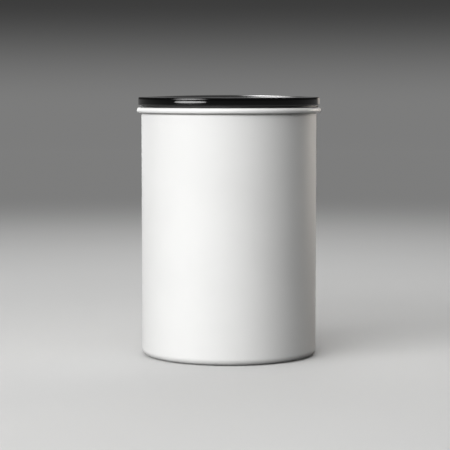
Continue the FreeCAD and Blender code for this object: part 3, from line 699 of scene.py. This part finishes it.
def makeSilicone(name, colour, v):
    finish, tree, bsdf = newFinish(name)
    grain = useGroup(tree, surfaceGrain, Grain=v["grain"], Patch=v["tonePatch"])
    marks = useGroup(tree, handlingMarks)
    toned = shade(tree, colour, vary(tree, grain["Tone"], *v["tone"]))
    dusty = calc(tree, "MULTIPLY", marks["Dust"], v["dustShare"])
    link(tree, mixColour(tree, dusty, toned, v["dustColour"]), bsdf["Base Color"])
    rough = vary(tree, grain["Tone"], *v["roughness"])
    link(tree, vary(tree, marks["Smudge"], v["smudgeGloss"], rough), bsdf["Roughness"])
    setBump(tree, bsdf, grain["Height"], v["grainDepth"])
    return finish


def lipSpots(rootR, tipR, low, root, tip, rise, edge):
    middle = low + root / 2 + rise
    return [
        (rootR, low, edge),
        (tipR, middle - tip / 2, edge),
        (tipR, middle + tip / 2, edge),
        (rootR, low + root, edge),
    ]


def makeSeals(v):
    finish = makeSilicone("blackSilicone", v["colour"], v)
    edge = v["edge"]
    low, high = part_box("outer_lid_seal")
    sleeveIn = high.x - v["sleeveInset"]
    sleeveOut = sleeveIn + v["sleeveWall"]
    flangeLow = high.z - v["flangeThick"]
    tipR = sleeveOut + v["lidLipReach"]
    lidLips = []
    for i in range(v["lips"]):
        start = low.z + v["lidLipStart"] + i * v["lidLipPitch"]
        lidLips += lipSpots(sleeveOut, tipR, start, v["lidLipRoot"], v["lidLipTip"], 0, edge)
    corners = [
        (sleeveIn, low.z, edge),
        (sleeveOut, low.z, edge),
        *lidLips,
        (sleeveOut, flangeLow, edge),
        (high.x, flangeLow, v["flangeRound"]),
        (high.x, high.z, v["flangeRound"]),
        (sleeveIn, high.z, edge),
    ]
    piece = turnPiece("lidSeal", corners, finish, v, closed=True)
    standIn(piece, "outer_lid", "outer_lid_seal")

    low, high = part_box("plunger_seal")
    bandOut = high.x - v["wiperReach"]
    bandIn = bandOut - v["bandWall"]
    wipers = []
    for i in range(v["lips"]):
        start = low.z + v["wiperStart"] + i * v["wiperPitch"]
        wipers += lipSpots(bandOut, high.x, start, v["wiperRoot"], v["wiperTip"], v["wiperRise"], edge)
    corners = [
        (bandIn, low.z, edge),
        (bandOut, low.z, edge),
        *wipers,
        (bandOut, high.z, edge),
        (bandIn, high.z, edge),
    ]
    piece = turnPiece("plungerSeal", corners, finish, v, closed=True)
    standIn(piece, "plunger", "plunger_seal")


# valve spring: a helix whose end turns lie closer, between the cage and the stem's head

spring = {
    "wire": 0.6 * mm,
    "turns": 4,
    "closeEnds": 0.4,  # how much flatter the end turns are
    "stepsPerTurn": 40,
    "wireSides": 12,
}

stainless = {
    "colour": (0.60, 0.59, 0.57, 1),
    "tone": (0.22, 0.84),
    "tonePatch": 6 * mm,
    "roughness": (0.16, 0.2),
    "smudgeRoughness": 0.10,
    "grain": 0.3 * mm,
    "grainDepth": 0.0006 * mm,
    "edge": 0.12 * mm,
}


def makeStainless(v):
    finish, tree, bsdf = newFinish("stainless")
    grain = useGroup(tree, surfaceGrain, Grain=v["grain"], Patch=v["tonePatch"])
    edge = useGroup(tree, softEdge, Width=v["edge"])
    marks = useGroup(tree, handlingMarks)
    toned = shade(tree, v["colour"], vary(tree, grain["Tone"], *v["tone"]))
    link(tree, toned, bsdf["Base Color"])
    bsdf["Metallic"].default_value = 1.0
    rough = vary(tree, grain["Height"], *v["roughness"])
    link(tree, vary(tree, marks["Smudge"], v["smudgeRoughness"], rough), bsdf["Roughness"])
    setBump(tree, bsdf, grain["Height"], v["grainDepth"], edge["Normal"])
    return finish


def makeSpringTree():
    tree, given, result = openGroup(
        "woundSpring",
        {
            "Foot": (number, 0.0),
            "Height": (number, 5 * mm),
            "Coil Radius": (number, 5 * mm),
            "Wire Radius": (number, 0.3 * mm),
            "Turns": (number, 4.0),
            "Close Ends": (number, 0.4),
            "Steps Per Turn": ("NodeSocketInt", 40),
            "Wire Sides": ("NodeSocketInt", 12),
            "Finish": ("NodeSocketMaterial", None),
        },
        {"Spring": "NodeSocketGeometry"},
        kind="GeometryNodeTree",
    )
    coil = addStep(
        tree,
        "GeometryNodeCurveSpiral",
        {
            "Resolution": given["Steps Per Turn"],
            "Rotations": given["Turns"],
            "Start Radius": given["Coil Radius"],
            "End Radius": given["Coil Radius"],
            "Height": given["Height"],
        },
    )
    share = addNode(tree, "GeometryNodeSplineParameter").outputs["Factor"]
    wave = calc(tree, "DIVIDE", calc(tree, "SINE", calc(tree, "MULTIPLY", share, turn)), turn)
    eased = calc(tree, "SUBTRACT", share, calc(tree, "MULTIPLY", wave, given["Close Ends"]))
    rise = calc(tree, "MULTIPLY_ADD", eased, given["Height"], given["Foot"])
    place = split(tree, addStep(tree, "GeometryNodeInputPosition"))
    moved = addStep(tree, "ShaderNodeCombineXYZ", {0: place[0], 1: place[1], 2: rise})
    coil = addStep(tree, "GeometryNodeSetPosition", {"Geometry": coil, "Position": moved})
    sockets = {"Resolution": given["Wire Sides"], "Radius": given["Wire Radius"]}
    wire = addStep(tree, "GeometryNodeCurvePrimitiveCircle", sockets)
    sockets = {"Curve": coil, "Profile Curve": wire, "Fill Caps": True}
    form = addStep(tree, "GeometryNodeCurveToMesh", sockets)
    form = addStep(tree, "GeometryNodeSetShadeSmooth", {"Geometry": form})
    endForm(tree, form, given["Finish"], result["Spring"])
    return tree


def makeSpring(v, finish):
    low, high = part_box("valve_spring")
    wireR = v["wire"] / 2
    values = {
        "Foot": low.z + wireR,
        "Height": high.z - low.z - v["wire"],
        "Coil Radius": high.x - wireR,
        "Wire Radius": wireR,
        "Turns": float(v["turns"]),
        "Close Ends": v["closeEnds"],
        "Steps Per Turn": v["stepsPerTurn"],
        "Wire Sides": v["wireSides"],
        "Finish": finish,
    }
    piece = growMesh("valveSpring", makeSpringTree(), values)
    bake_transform(piece)
    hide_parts("valve_spring")
    print("wound valveSpring", len(piece.data.polygons), "faces")


# bearing screws: pan heads with hexagon sockets, one screw set on each of four points

screws = {
    "headRadius": 2.25 * mm,
    "headHeight": 1.6 * mm,
    "shankRadius": 1.25 * mm,
    "headRound": 0.45 * mm,
    "seatRound": 0.12 * mm,
    "tipIn": 0.3 * mm,  # the tip's chamfer, across and along
    "tipHeight": 0.4 * mm,
    "socketSides": 6,
    "socketAcross": 1.7 * mm,  # across the corners
    "socketDepth": 0.9 * mm,
    "steps": 40,
    "arcSteps": 5,
}


def makeScrewTree():
    tree, given, result = openGroup(
        "screwRow",
        {
            "Places": ("NodeSocketGeometry", None),
            "Screw": ("NodeSocketObject", None),
            "Socket Sides": ("NodeSocketInt", 6),
            "Socket Radius": (number, 0.85 * mm),
            "Socket Depth": (number, 0.9 * mm),
            "Finish": ("NodeSocketMaterial", None),
        },
        {"Screws": "NodeSocketGeometry"},
        kind="GeometryNodeTree",
    )
    screw = addNode(tree, "GeometryNodeObjectInfo", {"Object": given["Screw"]}).outputs["Geometry"]
    # half of the cutter stands above the head
    depth = calc(tree, "MULTIPLY", given["Socket Depth"], 2.0)
    sockets = {"Vertices": given["Socket Sides"], "Radius": given["Socket Radius"], "Depth": depth}
    cutter = addStep(tree, "GeometryNodeMeshCylinder", sockets)
    sockets = {"Mesh 1": screw, "Mesh 2": cutter}
    cut = addStep(tree, "GeometryNodeMeshBoolean", sockets, operation="DIFFERENCE")
    sockets = {"Points": given["Places"], "Instance": cut}
    spread = addStep(tree, "GeometryNodeInstanceOnPoints", sockets)
    endForm(tree, spread, given["Finish"], result["Screws"])
    return tree


def makeScrews(v, finish):
    low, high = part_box("bearing_screws")
    seat = -v["headHeight"]
    tip = low.z - high.z
    corners = [
        (0, tip),
        (v["shankRadius"] - v["tipIn"], tip),
        (v["shankRadius"], tip + v["tipHeight"]),
        (v["shankRadius"], seat),
        (v["headRadius"], seat, v["seatRound"]),
        (v["headRadius"], 0, v["headRound"]),
        (0, 0),
    ]
    pattern = turnPiece("screwPattern", corners, finish, v)
    x, y = high.x - v["headRadius"], high.y - v["headRadius"]
    places = bpy.data.meshes.new("screwPlaces")
    places.from_pydata([(sx * x, sy * y, high.z) for sx in (-1, 1) for sy in (-1, 1)], [], [])
    values = {
        "Screw": pattern,
        "Socket Sides": v["socketSides"],
        "Socket Radius": v["socketAcross"] / 2,
        "Socket Depth": v["socketDepth"],
        "Finish": finish,
    }
    piece = growMesh("bearingScrews", makeScrewTree(), values, startMesh=places)
    piece.data.set_sharp_from_angle(angle=creaseAngle)
    bpy.data.objects.remove(pattern)
    standIn(piece, "plunger", "bearing_screws")
    print("set bearingScrews", len(piece.data.polygons), "faces")


# moulded and turned pieces that keep the frame's own shape

mouldings = {
    "charcoal": {
        "colour": (0.030, 0.031, 0.033, 1),
        "roughness": 0.50,
        "grain": 0.28 * mm,
        "grainDepth": 0.030 * mm,
    },
    "black": {
        "colour": (0.012, 0.012, 0.0125, 1),
        "roughness": 0.36,
        "grain": 0.20 * mm,
        "grainDepth": 0.014 * mm,
    },
    "tone": (0.22, 0.88),
    "tonePatch": 16 * mm,
    "toneRoughness": 0.10,
    "smudgeGloss": -0.08,
    "edge": 0.30 * mm,
    "rubShare": 0.16,
    "rubGloss": -0.10,
    "rubColour": (0.16, 0.16, 0.16, 1),
    "dustShare": 0.16,
    "dustColour": (0.22, 0.21, 0.20, 1),
}


def makeMoulding(name, look, v):  # spark-eroded plastic with rubbed edges and a little dust
    finish, tree, bsdf = newFinish(name)
    grain = useGroup(tree, surfaceGrain, Grain=look["grain"], Patch=v["tonePatch"])
    edge = useGroup(tree, softEdge, Width=v["edge"])
    marks = useGroup(tree, handlingMarks)
    toned = shade(tree, look["colour"], vary(tree, grain["Tone"], *v["tone"]))
    rubbed = mixColour(tree, calc(tree, "MULTIPLY", edge["Rub"], v["rubShare"]), toned, v["rubColour"])
    dusty = calc(tree, "MULTIPLY", marks["Dust"], v["dustShare"])
    link(tree, mixColour(tree, dusty, rubbed, v["dustColour"]), bsdf["Base Color"])
    rough = vary(tree, grain["Tone"], v["toneRoughness"], look["roughness"])
    rough = vary(tree, edge["Rub"], v["rubGloss"], rough)
    link(tree, vary(tree, marks["Smudge"], v["smudgeGloss"], rough), bsdf["Roughness"])
    setBump(tree, bsdf, grain["Height"], look["grainDepth"], edge["Normal"])
    return finish


acetal = {
    "colour": (0.74, 0.72, 0.66, 1),
    "tone": (0.08, 0.95),
    "tonePatch": 5 * mm,
    "roughness": (0.14, 0.32),
    "toolLine": 0.10 * mm,
    "toolWaver": 0.6,
    "toolDepth": 0.006 * mm,
    "edge": 0.2 * mm,
    "glow": 0.12,
    "glowReach": (1.2 * mm, 1.0 * mm, 0.8 * mm),
}


def makeAcetal(v):  # waxy natural plastic with faint turning marks
    finish, tree, bsdf = newFinish("naturalAcetal")
    lines = useGroup(tree, turningLines, Line=v["toolLine"], Waver=v["toolWaver"])["Lines"]
    tone = useGroup(tree, surfaceGrain, Patch=v["tonePatch"])["Tone"]
    edge = useGroup(tree, softEdge, Width=v["edge"])
    toned = shade(tree, v["colour"], vary(tree, tone, *v["tone"]))
    link(tree, toned, bsdf["Base Color"])
    link(tree, vary(tree, lines, *v["roughness"]), bsdf["Roughness"])
    bsdf["Subsurface Weight"].default_value = v["glow"]
    bsdf["Subsurface Radius"].default_value = v["glowReach"]
    bsdf["Subsurface Scale"].default_value = 1.0
    setBump(tree, bsdf, lines, v["toolDepth"], edge["Normal"])
    return finish


umbrella = {"colour": (0.20, 0.205, 0.21, 1)}


def dressNodes(looks):
    for node, finish in looks.items():
        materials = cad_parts[node].data.materials
        materials.clear()
        materials.append(finish)
    print("dressed", ", ".join(looks))


makeCanister(canister)
makeOuterLid(outerLid)
makeSeals(seals)
steel = makeStainless(stainless)
makeSpring(spring, steel)
makeScrews(screws, steel)
charcoal = makeMoulding("charcoalMoulding", mouldings["charcoal"], mouldings)
black = makeMoulding("blackMoulding", mouldings["black"], mouldings)
natural = makeAcetal(acetal)
dressNodes(
    {
        "plunger_body": charcoal,
        "valve_cage": black,
        "handle_bail": black,
        "left_bearing_cap": black,
        "right_bearing_cap": black,
        "valve_umbrella": makeSilicone("greySilicone", umbrella["colour"], seals),
        "valve_stem": natural,
        "valve_cam": natural,
        "handle_axle": steel,
    }
)


# stage: a wide pale floor whose edge sweeps up all round, and soft lamps

stage = {
    "radius": 5.0,
    "sweep": 1.2,
    "height": 1.6,
    "lean": 0.2,
    "drop": 0.1 * mm,  # the floor lies this far under the foot
    "nearColour": (0.62, 0.62, 0.615, 1),
    "farColour": (0.20, 0.20, 0.1985, 1),
    "farFrom": 0.45,
    "farTo": 1.9,
    "highShadeColour": (0.045, 0.045, 0.0447, 1),  # painted shade: the backdrop's glow goes darker as it rises
    "highFrom": 0.12,
    "highTo": 0.5,
    "bounceColour": (0.10, 0.10, 0.099, 1),  # what the floor throws back at the canister
    "tone": (0.02, 0.99),
    "tonePatch": 0.4,
    "roughness": 0.9,
    "gloss": 0.1,
    "steps": 96,
    "arcSteps": 16,
}


def makePaper(v):
    finish, tree, bsdf = newFinish("stagePaper")
    tone = useGroup(tree, surfaceGrain, Patch=v["tonePatch"])["Tone"]
    place = objectPlace(tree)
    far = fade(tree, measure(tree, "LENGTH", place), v["farFrom"], v["farTo"])
    path = addNode(tree, "ShaderNodeLightPath").outputs
    seen = calc(tree, "MAXIMUM", path["Is Camera Ray"], path["Is Glossy Ray"])
    seen = calc(tree, "MAXIMUM", seen, path["Is Transmission Ray"])
    paper = shade(tree, v["nearColour"], vary(tree, tone, *v["tone"]))
    near = mixColour(tree, far, paper, (0, 0, 0, 1))  # far off, the glow below takes over
    link(tree, mixColour(tree, seen, v["bounceColour"], near), bsdf["Base Color"])
    # painted shade: the glow of the far floor and backdrop goes darker with height
    high = fade(tree, split(tree, place)[2], v["highFrom"], v["highTo"])
    link(tree, mixColour(tree, high, v["farColour"], v["highShadeColour"]), bsdf["Emission Color"])
    link(tree, calc(tree, "MULTIPLY", seen, far), bsdf["Emission Strength"])
    bsdf["Roughness"].default_value = v["roughness"]
    bsdf["Specular IOR Level"].default_value = v["gloss"]
    return finish


def makeStage(v):
    corners = [
        (0, -v["drop"]),
        (v["radius"], -v["drop"], v["sweep"]),
        (v["radius"] + v["lean"], v["height"]),
    ]
    floor = turnPiece("floor", corners, makePaper(v), v)


# azimuth is seen from the canister: 0 towards the camera, positive to the right
# lid: EXCLUDE lights all but the lid, INCLUDE lights nothing else; soft lamps fade towards their edges
plainLamp = {
    "shape": "RECTANGLE",
    "colour": (1.0, 1.0, 1.0),
    "spread": 180,
    "roll": 0,
    "soft": False,
    "lid": None,
}
lamps = {
    "key": {
        "azimuth": -34, "elevation": 26, "distance": 2.6, "size": (3.2, 1.0), "power": 83.0,
        "lid": "EXCLUDE",
    },
    "bevelStrip": {
        "azimuth": -51, "elevation": 19.2, "distance": 1.4, "size": (1.7, 0.10), "power": 7.5,
        "aimHeight": 0.176, "roll": 5, "lid": "INCLUDE", "soft": True,
    },
    "lowStrip": {
        "azimuth": -49, "elevation": 3.0, "distance": 1.4, "size": (1.1, 0.06), "power": 2.3,
        "shape": "ELLIPSE",
    },
    "top": {
        "azimuth": 0, "elevation": 84, "distance": 1.4, "size": (1.6, 1.6), "power": 25.0,
        "soft": True,
    },
    "rightRim": {
        "azimuth": 138, "elevation": 7, "distance": 0.9, "size": (0.5, 0.4), "power": 0.20,
        "spread": 22, "aimHeight": 0.19, "colour": (1.0, 0.925, 0.85), "lid": "EXCLUDE",
    },
    "lidEnd": {
        "azimuth": 157, "elevation": 2, "distance": 0.9, "size": (0.5, 0.3), "power": 0.36,
        "aimHeight": 0.178, "colour": (1.0, 0.90, 0.80), "lid": "INCLUDE", "soft": True,
    },
    "leftRim": {
        "azimuth": -150, "elevation": 7, "distance": 0.9, "size": (0.5, 0.4), "power": 0.11,
        "spread": 22, "aimHeight": 0.19, "lid": "EXCLUDE",
    },
    "back": {
        "azimuth": 178, "elevation": 42, "distance": 1.6, "size": (2.0, 1.6), "power": 28.0,
        "soft": True,
    },
    "backStrip": {
        "azimuth": 177.6, "elevation": 3.0, "distance": 1.6, "size": (0.11, 0.07), "power": 0.07,
        "aimHeight": 0.178, "soft": True,
    },
}
surround = {"grey": 0.095}


def linkLid(state):  # a lamp with this collection lights all but the lid, or the lid alone
    group = bpy.data.collections.new("lid" + state.title())
    group.objects.link(bpy.data.objects["outerLid"])
    group.collection_objects[0].light_linking.link_state = state
    return group


def softenLamp(light):  # brightest in its middle, dark at its edges
    light.use_nodes = True
    tree = light.node_tree
    place = addNode(tree, "ShaderNodeNewGeometry").outputs["Parametric"]
    half = 0.5  # the lamp's own coordinates go from 0 to 1
    away = measure(tree, "DISTANCE", place, (half, half, 0))
    link(tree, fade(tree, away, 0.0, half, 1.0, 0.0), tree.nodes["Emission"].inputs["Strength"])


def makeLamp(name, v, middle, lidLinks):
    azimuth, elevation = math.radians(v["azimuth"]), math.radians(v["elevation"])
    level = math.cos(elevation)
    way = Vector((math.sin(azimuth) * level, -math.cos(azimuth) * level, math.sin(elevation)))
    aim = Vector((middle.x, middle.y, v.get("aimHeight", middle.z)))
    light = bpy.data.lights.new(name, "AREA")
    light.shape = v["shape"]
    light.size, light.size_y = v["size"]
    light.energy = v["power"]
    light.spread = math.radians(v["spread"])
    light.color = v["colour"]
    lamp = bpy.data.objects.new(name, light)
    lamp.location = aim + way * v["distance"]
    rolled = Quaternion((0, 0, 1), math.radians(v["roll"]))
    lamp.rotation_euler = (way.to_track_quat("Z", "Y") @ rolled).to_euler()
    lamp.visible_camera = False
    if v["soft"]:
        softenLamp(light)
    if v["lid"]:
        lamp.light_linking.receiver_collection = lidLinks[v["lid"]]
    scene.collection.objects.link(lamp)


def makeSurround(v):
    world = bpy.data.worlds.new("surround")
    world.use_nodes = True
    world.node_tree.nodes["Background"].inputs["Color"].default_value = (v["grey"],) * 3 + (1,)
    scene.world = world


makeStage(stage)
middle = (cadBox[0] + cadBox[1]) / 2
lidLinks = {state: linkLid(state) for state in ("EXCLUDE", "INCLUDE")}
for name, v in lamps.items():
    makeLamp(name, {**plainLamp, **v}, middle, lidLinks)
makeSurround(surround)
print("stage and lamps set")


# camera at the photograph's view

view = {
    "place": (-0.0027, -1.2, 0.1841),
    "pitchDown": 0.0787,  # radians
    "lens": 138.73,
    "sensor": 36.0,
}


def makeCamera(v):
    camera = bpy.data.objects.new("camera", bpy.data.cameras.new("camera"))
    camera.data.lens = v["lens"]
    camera.data.sensor_width = v["sensor"]
    camera.location = v["place"]
    camera.rotation_euler = (math.pi / 2 - v["pitchDown"], 0, 0)
    scene.collection.objects.link(camera)
    scene.camera = camera


makeCamera(view)
scene.view_settings.view_transform = "Standard"
print("camera set")

print("canister finished")
